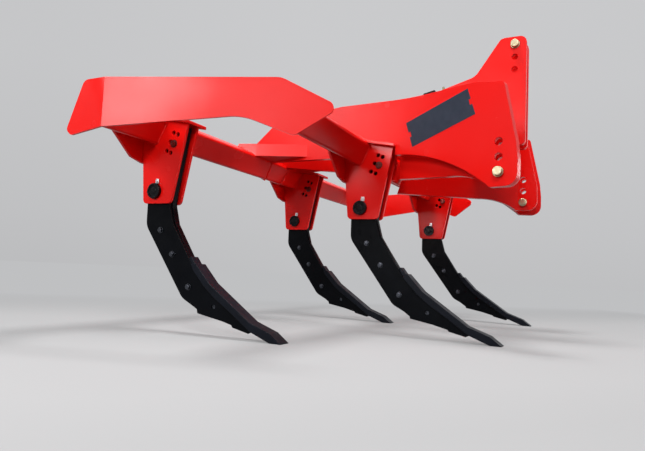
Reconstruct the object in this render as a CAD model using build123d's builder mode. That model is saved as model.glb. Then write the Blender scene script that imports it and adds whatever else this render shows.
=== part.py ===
"""Four-leg mounted subsoiler with two staggered rows, a three-point headstock and bent side plates.

X points forward to the tractor, Y to the left, Z up. The legs stand on their points at Z = 0.
"""

from math import asin, cos, degrees, radians, sin, tan
import os

from build123d import *

os.makedirs("parts", exist_ok=True)

# Driving dimensions of the frame
pin_height = 505
row_gap = 600
leg_spacing = 535
beam_side = 100
beam_wall = 6.3
beam_radius = 14
beam_tilt = 26.3
beam_setback = 30.5
beam_rise = 239.5
front_beam_half = 1000
rear_beam_half = 1100

# Driving dimensions of the three-point hitch
hitch_tail_y = 44.3
hitch_plate = 25
hitch_face_y = 440
hitch_length = 1384
hitch_nose = 68
hitch_top = 949
lower_pin_reach = 560
lower_pin_height = 607
mast_height = 610
lower_pin_radius = 14
top_pin_radius = 12.5
hole_pitch = 53.5
clevis_gap = 52
inner_plate = 25
mast_gap = 54
mast_plate = 25

# Running fit of a pin in its hole and of a leg between its cheeks
fit = 0.3
overrun = 5

# Sides of the many-sided outlines that stand for small round holes and for pins
hole_sides = 12
pin_sides = 24

# Legs: name of the place, row counted from the rear, offset from the middle in spacings
LEGS = (
    ("rear_right", 0, -1.5),
    ("front_right", 1, -0.5),
    ("rear_left", 0, 0.5),
    ("front_left", 1, 1.5),
)

# Places worked out from the driving dimensions
splay_sin = (hitch_face_y - hitch_tail_y) / (hitch_length - hitch_nose)
hitch_splay = degrees(asin(splay_sin))
splay_cos = cos(asin(splay_sin))
splay_slope = splay_sin / splay_cos
front_reach = lower_pin_reach + hitch_nose * splay_cos + hitch_plate * splay_sin
rear_reach = (hitch_length - hitch_nose) * splay_cos - row_gap - lower_pin_reach
mid_x = (row_gap + front_reach - rear_reach) / 2
rear_x = -mid_x
front_x = row_gap - mid_x
lower_pin_x = front_x + lower_pin_reach
tilt_cos = cos(radians(beam_tilt))
tilt_sin = sin(radians(beam_tilt))
half_beam = beam_side / 2


def upright_plane(x, y, z=0, heading=0):
    """Upright plane whose local X runs along the heading, whose local Y is up and that faces right."""
    turn = radians(heading)
    return Plane(origin=(x, y, z), x_dir=(cos(turn), sin(turn), 0), z_dir=(sin(turn), -cos(turn), 0))


def beam_plane(row_x):
    """Upright lengthwise plane at the middle of a beam, turned with the beam."""
    return Plane(
        origin=(row_x - beam_setback, 0, pin_height + beam_rise),
        x_dir=(tilt_cos, 0, -tilt_sin),
        z_dir=(0, -1, 0),
    )


def beam_corner_point(forward_sides, up_sides):
    """Corner of a beam's section, seen from its row's leg pin, counted in half sides."""
    forward = half_beam * forward_sides
    up = half_beam * up_sides
    return (
        forward * tilt_cos + up * tilt_sin - beam_setback,
        up * tilt_cos - forward * tilt_sin + beam_rise,
    )


def hitch_face(x):
    """Distance of a headstock plate's outer face from the middle, at a place along the machine."""
    return hitch_face_y - (lower_pin_x - x) * splay_slope


def round_corners(sketch, points, radii):
    """Round the sketch's corners that have a radius."""
    for point, radius in zip(points, radii):
        if radius > 0:
            fillet(sketch.vertices().sort_by_distance(point)[0], radius=radius)


def outline(rows, length, height):
    """Flat face from rows of length share, height share and corner radius."""
    points = [(length * along, height * up) for along, up, _ in rows]
    with BuildSketch() as flat:
        with BuildLine():
            Polyline(points, close=True)
        make_face()
        round_corners(flat, points, [radius for _, _, radius in rows])
    return flat.sketch


def write(builder, name):
    """Label a finished piece and write its file."""
    builder.part.label = name
    export_step(builder.part, f"parts/{name}.step")


def write_left(builder, name):
    """Write the left-hand twin of a right-hand piece."""
    with BuildPart() as twin:
        mirror(builder.part, about=Plane.XZ)
    write(twin, name)


def beam_block(row_x, half_length):
    """Outside of a beam as a solid, which notches the plates that it passes."""
    with BuildPart() as block:
        with BuildSketch(beam_plane(row_x)):
            RectangleRounded(beam_side, beam_side, beam_radius)
        extrude(amount=half_length, both=True)
    return block.part


# Transverse beams: square tubes turned about their length
BEAMS = (("rear_beam", rear_x, rear_beam_half), ("front_beam", front_x, front_beam_half))

for name, row_x, half_length in BEAMS:
    with BuildPart() as beam:
        with BuildSketch(beam_plane(row_x)):
            RectangleRounded(beam_side, beam_side, beam_radius)
            offset(amount=-beam_wall, mode=Mode.SUBTRACT)
        extrude(amount=half_length, both=True)
    write(beam, name)

rear_block = beam_block(rear_x, rear_beam_half)
front_block = beam_block(front_x, front_beam_half)

# Leg brackets: two cheeks on the beam with a cap plate over them
cheek_plate = 12
cheek_gap = 40
cheek_length = 211
cheek_height = 310
cheek_foot_radius = 18
cheek_rear = 75
cheek_foot = 46
cheek_half = cheek_gap / 2 + cheek_plate
pivot_radius = 15
shear_radius = 8
shear_reach = 74
shear_rise = 174
hole_row = 36
hole_tilt = radians(23)
hole_column = 21.5
bracket_holes = [
    (
        shear_reach - hole_column * column * cos(hole_tilt) + hole_row * step * sin(hole_tilt),
        shear_rise + hole_column * column * sin(hole_tilt) + hole_row * step * cos(hole_tilt),
    )
    for column in (0, 1)
    for step in (-1, 0, 1)
]

cheek_shares = (
    (0, 0.5, 0),
    (0.02, 0.5, 0),
    (0.095, 0, cheek_foot_radius),
    (0.715, 0, cheek_foot_radius),
    (0.987, 0.955, 0),
    (0.52, 0.998, 0),
    (0, 0.95, 0),
)
cap_overhang = 28
cap_front = 143
cap_plate = 12
cap_slope = 10.3
cap_half = cheek_half + cap_overhang
cap_rise = tan(radians(cap_slope))
cap_back_x, cap_back_z = beam_corner_point(0, 1)
cap_corner_x, cap_corner_z = beam_corner_point(1, 1)
cap_front_z = cap_corner_z - (cap_front - cap_corner_x) * cap_rise


def leg_plane(row, spacings, side_offset=0):
    """Upright plane through a leg's pivot, moved sideways from the leg's middle."""
    return upright_plane(rear_x + row * row_gap, leg_spacing * spacings + side_offset, pin_height)


def cap_slab(row, spacings):
    """Cap plate over the two cheeks, from the beam's top corner to the front."""
    with BuildPart() as slab:
        with BuildSketch(leg_plane(row, spacings)):
            with BuildLine():
                Polyline(
                    (cap_corner_x, cap_corner_z),
                    (cap_front, cap_front_z),
                    (cap_front, cap_front_z + cap_plate),
                    (cap_corner_x, cap_corner_z + cap_plate),
                    (cap_back_x, cap_back_z + cap_plate / tilt_cos),
                    (cap_back_x, cap_back_z),
                    close=True,
                )
            make_face()
        extrude(amount=cap_half, both=True)
    return slab.part


def bracket_block(row, spacings):
    """Room of a bracket under its cap plate, which notches the headstock pieces over it."""
    with BuildPart() as block:
        with BuildSketch(leg_plane(row, spacings)):
            with BuildLine():
                Polyline(
                    (-cheek_rear, 0),
                    (cap_front, 0),
                    (cap_front, cap_front_z),
                    (cap_corner_x, cap_corner_z),
                    (cap_back_x, cap_back_z),
                    (-cheek_rear, beam_rise),
                    close=True,
                )
            make_face()
        extrude(amount=cap_half, both=True)
        add(cap_slab(row, spacings))
    return block.part


# Brackets beside the headstock: one stands under the right plate, one under the left brace
right_block = bracket_block(*LEGS[1][1:])
left_block = bracket_block(*LEGS[2][1:])


def write_pair(builder, name):
    """Write a right-hand piece and its left-hand twin, each notched over the bracket on its side."""
    with BuildPart() as right:
        add(builder.part)
        add(right_block, mode=Mode.SUBTRACT)
    write(right, f"{name}_right")
    with BuildPart() as left:
        mirror(builder.part, about=Plane.XZ)
        add(left_block, mode=Mode.SUBTRACT)
    write(left, f"{name}_left")


# Side plates: a long panel that closes in to the front, with its tail bent parallel to the path
side_plate = 8
side_bend_reach = 140
side_face_y = 1225
side_heading = 18.85
side_slope = tan(radians(side_heading))
side_length = 712
side_depth = 151
side_bottom = 636
side_tail = 148
side_nose_radius = 20
side_brow_radius = 60
side_waist_radius = 180
tail_top_radius = 24
tail_foot_radius = 14
side_bend_x = rear_x + side_bend_reach

# Columns: share of the length, share of the depth, corner radius
side_panel_shares = (
    (0, 1, 0),
    (0.755, 1, side_brow_radius),
    (1, 0.43, side_nose_radius),
    (0.817, -0.13, side_nose_radius),
    (0.6, 0.25, side_waist_radius),
    (0, 0, 0),
)
side_tail_shares = (
    (0, 1, 0),
    (-0.58, 1, tail_top_radius),
    (-1, 0, tail_foot_radius),
    (-0.86, -0.12, tail_foot_radius),
    (0, 0, 0),
)

with BuildPart() as side_plate_right:
    with BuildSketch(upright_plane(side_bend_x, -side_face_y, side_bottom, side_heading)):
        add(outline(side_panel_shares, side_length, side_depth))
    extrude(amount=-side_plate)
    with BuildSketch(upright_plane(side_bend_x, -side_face_y, side_bottom)):
        add(outline(side_tail_shares, side_tail, side_depth))
    extrude(amount=-side_plate)
write(side_plate_right, "side_plate_right")
write_left(side_plate_right, "side_plate_left")

# Side plate mounts: a closing plate on each beam's end and a stub box out to the side plate
mount_plate = 8
mount_wall = 8
mount_box_length = 80
mount_box_height = 66
mount_box_bottom = 690
rear_mount_setback = 20
rear_mount_lean = 72
front_mount_setback = 40

# Columns: row, beam half length, start of the box behind the pin, its lean, and whether it meets the tail
MOUNTS = (
    (rear_x, rear_beam_half, rear_mount_setback, rear_mount_lean, True),
    (front_x, front_beam_half, front_mount_setback, 0, False),
)


def side_plate_inside(x, at_tail):
    """Distance of the side plate's inner face from the middle, on the tail or on the panel."""
    if at_tail:
        return side_face_y - side_plate
    return side_face_y - side_plate / cos(radians(side_heading)) - (x - side_bend_x) * side_slope


with BuildPart() as side_plate_mounts:
    for row_x, half_length, setback, lean, at_tail in MOUNTS:
        box_rear = row_x - setback
        box_front = box_rear + mount_box_length
        side_rear = side_plate_inside(box_rear + lean, at_tail)
        side_front = side_plate_inside(box_front + lean, at_tail)
        with BuildSketch(beam_plane(row_x).offset(half_length)):
            RectangleRounded(beam_side, beam_side, beam_radius)
        extrude(amount=mount_plate)
        with BuildSketch(Plane.XY.offset(mount_box_bottom)):
            with BuildLine():
                Polyline(
                    (box_rear, -half_length),
                    (box_front, -half_length),
                    (box_front + lean, -side_front),
                    (box_rear + lean, -side_rear),
                    close=True,
                )
            make_face()
        extrude(amount=mount_box_height)
        with BuildSketch(Plane.XY.offset(mount_box_bottom + mount_wall)):
            with BuildLine():
                Polyline(
                    (box_rear + mount_wall, -half_length),
                    (box_front - mount_wall, -half_length),
                    (box_front + lean - mount_wall, -side_face_y),
                    (box_rear + lean + mount_wall, -side_face_y),
                    close=True,
                )
            make_face()
            with BuildLine():
                Polyline(
                    (box_rear, -half_length),
                    (box_front, -half_length),
                    (box_front, -half_length - mount_plate),
                    (box_rear, -half_length - mount_plate),
                    close=True,
                )
            make_face(mode=Mode.SUBTRACT)
        extrude(amount=mount_box_height - 2 * mount_wall, mode=Mode.SUBTRACT)
    mirror(about=Plane.XZ)
write(side_plate_mounts, "side_plate_mounts")

# Headstock plates: from the middle of the rear beam over the front beam out to the lower pins
hitch_shoulder_radius = 14
hitch_heel_radius = 44
hitch_toe_radius = 16
hitch_saddle_radius = 1500
hitch_rear_x = lower_pin_x - (hitch_length - hitch_nose) * splay_cos
hitch_rear_y = hitch_face(hitch_rear_x)
hole_heights = [lower_pin_height + hole_pitch * step for step in (1, 2)]

hitch_foot = 51
hitch_base = lower_pin_height - hitch_foot
hitch_depth = hitch_top - hitch_base

# Columns: share of the length, share of the depth from the foot to the top
hitch_under_shares = ((0, 0.553), (0.642, 0.406), (0.917, 0.034))
hitch_over_shares = (
    (0.928, 0, hitch_toe_radius),
    (1, 0, hitch_heel_radius),
    (1, 0.227, 0),
    (0.996, 0.377, 0),
    (0.9615, 0.936, hitch_shoulder_radius),
    (0.88, 0.985, 0),
    (0.68, 0.966, hitch_saddle_radius),
    (0.42, 1.041, 0),
    (0.117, 1.041, 0),
    (0, 0.8, 0),
)

with BuildPart() as hitch_plate_right:
    with BuildSketch(upright_plane(hitch_rear_x, -hitch_rear_y, hitch_base, -hitch_splay)) as plate:
        under = [(hitch_length * along, hitch_depth * up) for along, up in hitch_under_shares]
        over = [(hitch_length * along, hitch_depth * up) for along, up, _ in hitch_over_shares]
        with BuildLine():
            lower_edge = Line(under[0], under[1])
            TangentArc(lower_edge @ 1, under[2], tangent=lower_edge % 1)
            Polyline(under[2], *over, under[0])
        make_face()
        round_corners(plate, over, [radius for _, _, radius in hitch_over_shares])
    extrude(amount=-hitch_plate)
    with BuildSketch(upright_plane(lower_pin_x, 0, lower_pin_height)):
        RegularPolygon(lower_pin_radius + fit, pin_sides, major_radius=False)
    extrude(amount=hitch_face_y + hitch_plate, mode=Mode.SUBTRACT)
    for height in hole_heights:
        with BuildSketch(upright_plane(lower_pin_x, 0, height)):
            Circle(lower_pin_radius + fit)
        extrude(amount=hitch_face_y + hitch_plate, mode=Mode.SUBTRACT)
    add(rear_block, mode=Mode.SUBTRACT)
    add(front_block, mode=Mode.SUBTRACT)
write_pair(hitch_plate_right, "hitch_plate")

# Inner headstock plates: parallel to the outer ones and bent straight at the lower pins
inner_bend_setback = 35
inner_nose = 63
inner_front_top = 314
inner_foot = 38
inner_length = 560
inner_depth = 235
inner_top_radius = 8
inner_face_y = hitch_face_y - hitch_plate / splay_cos - clevis_gap
inner_bend_x = lower_pin_x - inner_bend_setback
inner_base = lower_pin_height - inner_foot
inner_front_length = inner_bend_setback + inner_nose

inner_front_shares = (
    (0, 0, 0),
    (1, 0, hitch_heel_radius),
    (0.98, 0.36, 0),
    (0.55, 1, inner_top_radius),
    (0.3, 1, inner_top_radius),
    (0, 0.72, 0),
)
inner_rear_shares = ((-0.13, 0.16), (-0.3, 0.22), (-1, 0.28), (-0.93, 0.86), (0, 0.96), (0, 0))

with BuildPart() as hitch_inner_plate_right:
    with BuildSketch(upright_plane(inner_bend_x, -inner_face_y, inner_base)):
        add(outline(inner_front_shares, inner_front_length, inner_front_top))
    extrude(amount=-inner_plate)
    with BuildSketch(upright_plane(inner_bend_x, -inner_face_y, inner_base, -hitch_splay)):
        rear = [(inner_length * along, inner_depth * up) for along, up in inner_rear_shares]
        with BuildLine():
            ThreePointArc(rear[-1], rear[0], rear[1])
            Polyline(rear[1:])
        make_face()
    extrude(amount=-inner_plate)
    with BuildSketch(upright_plane(lower_pin_x, 0, lower_pin_height)):
        RegularPolygon(lower_pin_radius + fit, pin_sides, major_radius=False)
    extrude(amount=hitch_face_y, mode=Mode.SUBTRACT)
    for height in hole_heights:
        with BuildSketch(upright_plane(lower_pin_x, 0, height)):
            Circle(lower_pin_radius + fit)
        extrude(amount=hitch_face_y, mode=Mode.SUBTRACT)
    add(front_block, mode=Mode.SUBTRACT)
write_pair(hitch_inner_plate_right, "hitch_inner_plate")

# Headstock beam: a square tube across the machine between the headstock plates
cross_side = 100
cross_wall = 12.5
cross_setback = 180
cross_bottom = 792
cross_x = lower_pin_x - cross_setback
cross_ends = (cross_x - cross_side / 2, cross_x + cross_side / 2)


def hitch_inside(x):
    """Distance of a headstock plate's inner face from the middle."""
    return hitch_face(x) - hitch_plate / splay_cos


with BuildPart() as headstock_beam:
    with BuildSketch(Plane.XY.offset(cross_bottom)):
        with BuildLine():
            Polyline(
                (cross_ends[0], -hitch_inside(cross_ends[0])),
                (cross_ends[1], -hitch_inside(cross_ends[1])),
                (cross_ends[1], hitch_inside(cross_ends[1])),
                (cross_ends[0], hitch_inside(cross_ends[0])),
                close=True,
            )
        make_face()
    extrude(amount=cross_side)
    with BuildSketch(upright_plane(cross_x, 0, cross_bottom + cross_side / 2)):
        Rectangle(cross_side - 2 * cross_wall, cross_side - 2 * cross_wall)
    extrude(amount=hitch_face_y, both=True, mode=Mode.SUBTRACT)
write(headstock_beam, "headstock_beam")

# Mast: two plates close together, from the front beam up to the top link pin
mast_length = 672
mast_base = cross_bottom
mast_crown = 33
mast_rise = lower_pin_height + mast_height + mast_crown - mast_base
mast_nose = 46
mast_throat_radius = 60
mast_head_radius = 28
mast_toe_radius = 18
mast_rear_x = lower_pin_x + mast_nose - mast_length
top_pin_height = lower_pin_height + mast_height

mast_shares = (
    (0, 0.08, 0),
    (0.02, 0.36, 0),
    (0.695, 0.665, mast_throat_radius),
    (0.85, 1, mast_head_radius),
    (1, 1, mast_head_radius),
    (1, 0, mast_toe_radius),
    (0.16, -0.04, 0),
)
mast_face_y = mast_gap / 2 + mast_plate

with BuildPart() as mast_plate_right:
    with BuildSketch(upright_plane(mast_rear_x, -mast_face_y, mast_base)):
        add(outline(mast_shares, mast_length, mast_rise))
    extrude(amount=-mast_plate)
    with BuildSketch(upright_plane(lower_pin_x, 0, top_pin_height)):
        RegularPolygon(top_pin_radius + fit, pin_sides, major_radius=False)
    extrude(amount=mast_face_y + overrun, mode=Mode.SUBTRACT)
    for step in (1, 2):
        with BuildSketch(upright_plane(lower_pin_x, 0, top_pin_height - hole_pitch * step)):
            Circle(top_pin_radius + fit)
        extrude(amount=mast_face_y + overrun, mode=Mode.SUBTRACT)
    with BuildSketch(upright_plane(cross_x, 0, cross_bottom + cross_side / 2)):
        Rectangle(cross_side, cross_side)
    extrude(amount=mast_face_y + overrun, mode=Mode.SUBTRACT)
    add(front_block, mode=Mode.SUBTRACT)
write(mast_plate_right, "mast_plate_right")
write_left(mast_plate_right, "mast_plate_left")

# Mast block: a stepped block held between the mast plates, just proud of their sloping edge
block_reach = 238
block_length = 112
block_high_length = 60
block_depth = 45
block_proud = 13
_, slope_start, slope_end = mast_shares[:3]
slope_run = mast_length * (slope_end[0] - slope_start[0])
slope_climb = mast_rise * (slope_end[1] - slope_start[1])
block_x = mast_rear_x + block_reach
block_z = mast_base + mast_rise * slope_start[1]
block_z += (block_reach - mast_length * slope_start[0]) * slope_climb / slope_run

with BuildPart() as mast_block:
    slope_plane = Plane(origin=(block_x, 0, block_z), x_dir=(slope_run, 0, slope_climb), z_dir=(0, -1, 0))
    with BuildSketch(slope_plane):
        with BuildLine():
            Polyline(
                (0, -block_depth),
                (block_length, -block_depth),
                (block_length, 0),
                (block_high_length, 0),
                (block_high_length, block_proud),
                (0, block_proud),
                close=True,
            )
        make_face()
    extrude(amount=mast_gap / 2 - fit, both=True)
write(mast_block, "mast_block")

# Knee braces: folded boxes in the corners between the rear beam and the headstock plates
brace_sheet = 8
brace_bottom = 765
brace_height = 57
brace_root_y = 234
brace_heel_y = 256
brace_reach = 265
brace_root_x = rear_x + beam_corner_point(1, 1)[0]
brace_heel_x = rear_x + beam_corner_point(-1, 1)[0]
brace_tip_x = rear_x + brace_reach

with BuildPart() as knee_brace_right:
    with BuildSketch(Plane.XY.offset(brace_bottom)) as plan:
        with BuildLine():
            Polyline(
                (brace_heel_x, -brace_heel_y),
                (brace_root_x, -brace_root_y),
                (brace_tip_x, -hitch_face(brace_tip_x)),
                (brace_heel_x, -hitch_face(brace_heel_x)),
                close=True,
            )
        make_face()
    extrude(amount=brace_height)
    with BuildSketch(Plane.XY.offset(brace_bottom + brace_sheet)):
        with BuildLine():
            Polyline(
                (brace_heel_x + brace_sheet, -brace_heel_y + 2 * brace_sheet),
                (brace_root_x, -brace_root_y + brace_sheet),
                (brace_tip_x - 3 * brace_sheet, -hitch_face(brace_tip_x - 3 * brace_sheet)),
                (brace_heel_x + brace_sheet, -hitch_face(brace_heel_x + brace_sheet)),
                close=True,
            )
        make_face()
    extrude(amount=brace_height - 2 * brace_sheet, mode=Mode.SUBTRACT)
    add(rear_block, mode=Mode.SUBTRACT)
write_pair(knee_brace_right, "knee_brace")

# Hitch pins: a round head outside, a plain end inside
pin_head_radius = 18
pin_head = 14
pin_tail = 12
top_pin_tail = 14

pin_seat_y = hitch_face_y + pin_head_radius * splay_slope + fit

with BuildPart() as lower_link_pin_right:
    with BuildSketch(upright_plane(lower_pin_x, -pin_seat_y, lower_pin_height)):
        RegularPolygon(pin_head_radius, pin_sides)
    extrude(amount=pin_head)
    with BuildSketch(upright_plane(lower_pin_x, -pin_seat_y, lower_pin_height)):
        RegularPolygon(lower_pin_radius, pin_sides)
    extrude(amount=inner_face_y - inner_plate - pin_tail - pin_seat_y)
write(lower_link_pin_right, "lower_link_pin_right")
write_left(lower_link_pin_right, "lower_link_pin_left")

with BuildPart() as top_link_pin:
    with BuildSketch(upright_plane(lower_pin_x, -mast_face_y - fit, top_pin_height)):
        RegularPolygon(pin_head_radius, pin_sides)
    extrude(amount=pin_head)
    with BuildSketch(upright_plane(lower_pin_x, -mast_face_y - fit, top_pin_height)):
        RegularPolygon(top_pin_radius, pin_sides)
    extrude(amount=-2 * mast_face_y - top_pin_tail)
write(top_link_pin, "top_link_pin")

# Gussets behind the brackets
gusset_plate = 10
gusset_half = 185
gusset_knee = 90
gusset_foot_rise = 108
gusset_knee_rise = 122
gusset_top_rise = 203

# Legs: a core bar between two side plates, with a forged point on the foot
leg_reach = 565
core_plate = 20
leg_side_plate = 9.7
leg_half = core_plate / 2 + leg_side_plate
point_half = 28
cap_radius = 29
cap_thickness = 13
point_bolt_reach = 287
point_bolt_drop = 405
point_bolt_radius = 8
heel_radius = 60
calf_radius = 60
bolt_head_radius = 13
bolt_head = 10

# Columns: share of the reach ahead of the pivot, share of the pivot's height, corner radius
core_shares = (
    (0.208, 0.47, 0),
    (0.12, -0.093, 0),
    (0.155, -0.232, 0),
    (0.342, -0.554, 0),
    (0.437, -0.667, 0),
    (0.519, -0.739, 0),
    (0.651, -0.834, 0),
    (0.789, -0.941, 0),
    (0.657, -0.92, 0),
    (0.39, -0.845, 0),
    (0.262, -0.745, calf_radius),
    (-0.066, -0.24, heel_radius),
    (-0.07, 0.15, 0),
    (0.02, 0.33, 0),
    (0.09, 0.48, 0),
)
leg_side_shares = (
    (0.115, 0.06, 0),
    (0.115, -0.105, 0),
    (0.149, -0.236, 0),
    (0.342, -0.554, 0),
    (0.437, -0.667, 0),
    (0.519, -0.739, 0),
    (0.651, -0.834, 0),
    (0.789, -0.941, 0),
    (0.77, -0.956, 0),
    (0.657, -0.927, 0),
    (0.641, -0.905, 0),
    (0.391, -0.855, 0),
    (0.384, -0.826, 0),
    (0.262, -0.757, calf_radius),
    (-0.076, -0.25, heel_radius),
    (-0.08, 0.06, 0),
)
lug_shares = (
    (0.2965, -0.475, 0),
    (0.315, -0.466, 0),
    (0.352, -0.518, 0),
    (0.342, -0.554, 0),
)
point_shares = (
    (0.329, -0.519, 0),
    (0.365, -0.515, 0),
    (0.474, -0.643, 0),
    (0.632, -0.765, 0),
    (0.781, -0.88, 0),
    (0.924, -0.937, 0),
    (1, -1, 0),
    (0.925, -1, 0),
    (0.789, -0.941, 0),
    (0.651, -0.834, 0),
    (0.519, -0.739, 0),
    (0.437, -0.667, 0),
    (0.342, -0.554, 0),
)


for place, row, spacings in LEGS:
    row_x = rear_x + row * row_gap
    leg_y = leg_spacing * spacings
    middle = leg_plane(row, spacings)

    with BuildPart() as bracket_cheeks:
        with BuildSketch(upright_plane(row_x - cheek_rear, leg_y, pin_height - cheek_foot)):
            add(outline(cheek_shares, cheek_length, cheek_height))
        extrude(amount=cheek_half, both=True)
        with BuildSketch(upright_plane(row_x, leg_y, pin_height)):
            Rectangle(4 * cheek_length, 4 * cheek_height)
        extrude(amount=cheek_gap / 2, both=True, mode=Mode.SUBTRACT)
        with BuildSketch(middle):
            RegularPolygon(pivot_radius + fit, pin_sides, major_radius=False)
            with Locations(*bracket_holes):
                RegularPolygon(shear_radius + fit, hole_sides, major_radius=False)
        extrude(amount=cheek_half + overrun, both=True, mode=Mode.SUBTRACT)
        add(cap_slab(row, spacings), mode=Mode.SUBTRACT)
        add(rear_block, mode=Mode.SUBTRACT)
        add(front_block, mode=Mode.SUBTRACT)
    write(bracket_cheeks, f"bracket_cheeks_{place}")

    with BuildPart() as shank:
        with BuildSketch(middle):
            add(outline(core_shares, leg_reach, pin_height))
            RegularPolygon(pivot_radius + fit, pin_sides, major_radius=False, mode=Mode.SUBTRACT)
            with Locations((shear_reach, shear_rise)):
                RegularPolygon(shear_radius + fit, hole_sides, major_radius=False, mode=Mode.SUBTRACT)
            with Locations((point_bolt_reach, -point_bolt_drop)):
                RegularPolygon(point_bolt_radius, hole_sides, mode=Mode.SUBTRACT)
        extrude(amount=core_plate / 2, both=True)
    write(shank, f"shank_{place}")

    with BuildPart() as shank_side_plates:
        with BuildSketch(middle):
            add(outline(leg_side_shares, leg_reach, pin_height))
            RegularPolygon(pivot_radius + fit, pin_sides, major_radius=False, mode=Mode.SUBTRACT)
            with Locations((point_bolt_reach, -point_bolt_drop)):
                RegularPolygon(point_bolt_radius, hole_sides, mode=Mode.SUBTRACT)
        extrude(amount=leg_half, both=True)
        with BuildSketch(middle):
            Rectangle(4 * leg_reach, 4 * pin_height)
        extrude(amount=core_plate / 2, both=True, mode=Mode.SUBTRACT)
    write(shank_side_plates, f"shank_side_plates_{place}")

    with BuildPart() as point:
        with BuildSketch(middle):
            add(outline(point_shares, leg_reach, pin_height))
        extrude(amount=point_half, both=True)
        with BuildSketch(middle):
            add(outline(lug_shares, leg_reach, pin_height))
        extrude(amount=leg_half, both=True)
    write(point, f"point_{place}")

    with BuildPart() as pivot_pin:
        with BuildSketch(middle):
            RegularPolygon(pivot_radius, pin_sides)
        extrude(amount=cheek_half, both=True)
        for side in (-1, 1):
            with BuildSketch(leg_plane(row, spacings, side * (cheek_half + cap_thickness / 2))):
                RegularPolygon(cap_radius, pin_sides)
            extrude(amount=cap_thickness / 2, both=True)
    write(pivot_pin, f"pivot_pin_{place}")

# Caps, gussets and shear bolts of the four brackets
with BuildPart() as bracket_caps:
    for place, row, spacings in LEGS:
        add(cap_slab(row, spacings))
    add(rear_block, mode=Mode.SUBTRACT)
    add(front_block, mode=Mode.SUBTRACT)
write(bracket_caps, "bracket_caps")

with BuildPart() as bracket_gussets:
    for place, row, spacings in LEGS:
        gusset_plane = Plane(
            origin=(rear_x + row * row_gap - cheek_rear, leg_spacing * spacings, pin_height),
            x_dir=(0, 1, 0),
            z_dir=(1, 0, 0),
        )
        with BuildSketch(gusset_plane):
            with BuildLine():
                Polyline(
                    (-gusset_half, gusset_top_rise),
                    (-gusset_knee, gusset_knee_rise),
                    (-cheek_half, gusset_foot_rise),
                    (cheek_half, gusset_foot_rise),
                    (gusset_knee, gusset_knee_rise),
                    (gusset_half, gusset_top_rise),
                    (gusset_half, beam_rise),
                    (-gusset_half, beam_rise),
                    close=True,
                )
            make_face()
        extrude(amount=-gusset_plate)
    add(rear_block, mode=Mode.SUBTRACT)
    add(front_block, mode=Mode.SUBTRACT)
write(bracket_gussets, "bracket_gussets")

with BuildPart() as shear_bolts:
    for place, row, spacings in LEGS:
        for side in (-1, 1):
            with BuildSketch(leg_plane(row, spacings, side * (cheek_half + bolt_head / 2))):
                with Locations((shear_reach, shear_rise)):
                    RegularPolygon(radius=bolt_head_radius, side_count=6)
            extrude(amount=bolt_head / 2, both=True)
        with BuildSketch(leg_plane(row, spacings)):
            with Locations((shear_reach, shear_rise)):
                RegularPolygon(shear_radius, hole_sides)
        extrude(amount=cheek_half, both=True)
write(shear_bolts, "shear_bolts")
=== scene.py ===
import math
from typing import NamedTuple

import bpy
from mathutils import Matrix, Vector


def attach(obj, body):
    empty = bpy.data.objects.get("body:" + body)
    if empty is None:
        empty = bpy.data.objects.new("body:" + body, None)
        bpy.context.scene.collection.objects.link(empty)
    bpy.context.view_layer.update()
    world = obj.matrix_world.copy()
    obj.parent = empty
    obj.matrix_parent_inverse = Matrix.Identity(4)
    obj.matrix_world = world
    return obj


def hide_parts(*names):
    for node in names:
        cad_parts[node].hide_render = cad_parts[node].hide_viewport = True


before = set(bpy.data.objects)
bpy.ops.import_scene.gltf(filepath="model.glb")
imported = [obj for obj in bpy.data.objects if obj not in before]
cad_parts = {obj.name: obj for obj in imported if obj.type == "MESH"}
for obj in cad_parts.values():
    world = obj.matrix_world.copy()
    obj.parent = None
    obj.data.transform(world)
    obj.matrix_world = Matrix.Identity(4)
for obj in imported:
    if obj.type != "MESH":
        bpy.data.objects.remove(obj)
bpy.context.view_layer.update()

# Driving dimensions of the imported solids, in metres
PIVOT_Z = 0.505
ROW_GAP = 0.600
LEG_SPACING = 0.535
BEAM_SIDE = 0.100
BEAM_TILT = math.radians(26.3)
BEAM_SETBACK = 0.0305
BEAM_RISE = 0.2395
HITCH_TAIL_Y = 0.0443
HITCH_FACE_Y = 0.440
HITCH_PLATE = 0.025
HITCH_LENGTH = 1.384
HITCH_NOSE = 0.068
CLEVIS_GAP = 0.052
INNER_PLATE = 0.025
LINK_REACH = 0.560
LINK_Z = 0.607
MAST_HEIGHT = 0.610

# Outer faces of the cheeks, the legs and the mast plates, each from its own middle
CHEEK_FACE_Y = 0.032
LEG_FACE_Y = 0.0197
MAST_FACE_Y = 0.052

# Places worked out from the driving dimensions, as the solids' source does
HITCH_SPLAY = math.asin((HITCH_FACE_Y - HITCH_TAIL_Y) / (HITCH_LENGTH - HITCH_NOSE))
NOSE_REACH = HITCH_NOSE * math.cos(HITCH_SPLAY) + HITCH_PLATE * math.sin(HITCH_SPLAY)
FRONT_REACH = LINK_REACH + NOSE_REACH
REAR_REACH = (HITCH_LENGTH - HITCH_NOSE) * math.cos(HITCH_SPLAY) - ROW_GAP - LINK_REACH
REAR_X = (REAR_REACH - ROW_GAP - FRONT_REACH) / 2
FRONT_X = REAR_X + ROW_GAP
LINK_X = FRONT_X + LINK_REACH
TOP_Z = LINK_Z + MAST_HEIGHT

# Legs: place, row and distance from the middle
LEGS = (
    ("rear_right", REAR_X, -1.5 * LEG_SPACING),
    ("front_right", FRONT_X, -0.5 * LEG_SPACING),
    ("rear_left", REAR_X, 0.5 * LEG_SPACING),
    ("front_left", FRONT_X, 1.5 * LEG_SPACING),
)

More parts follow.
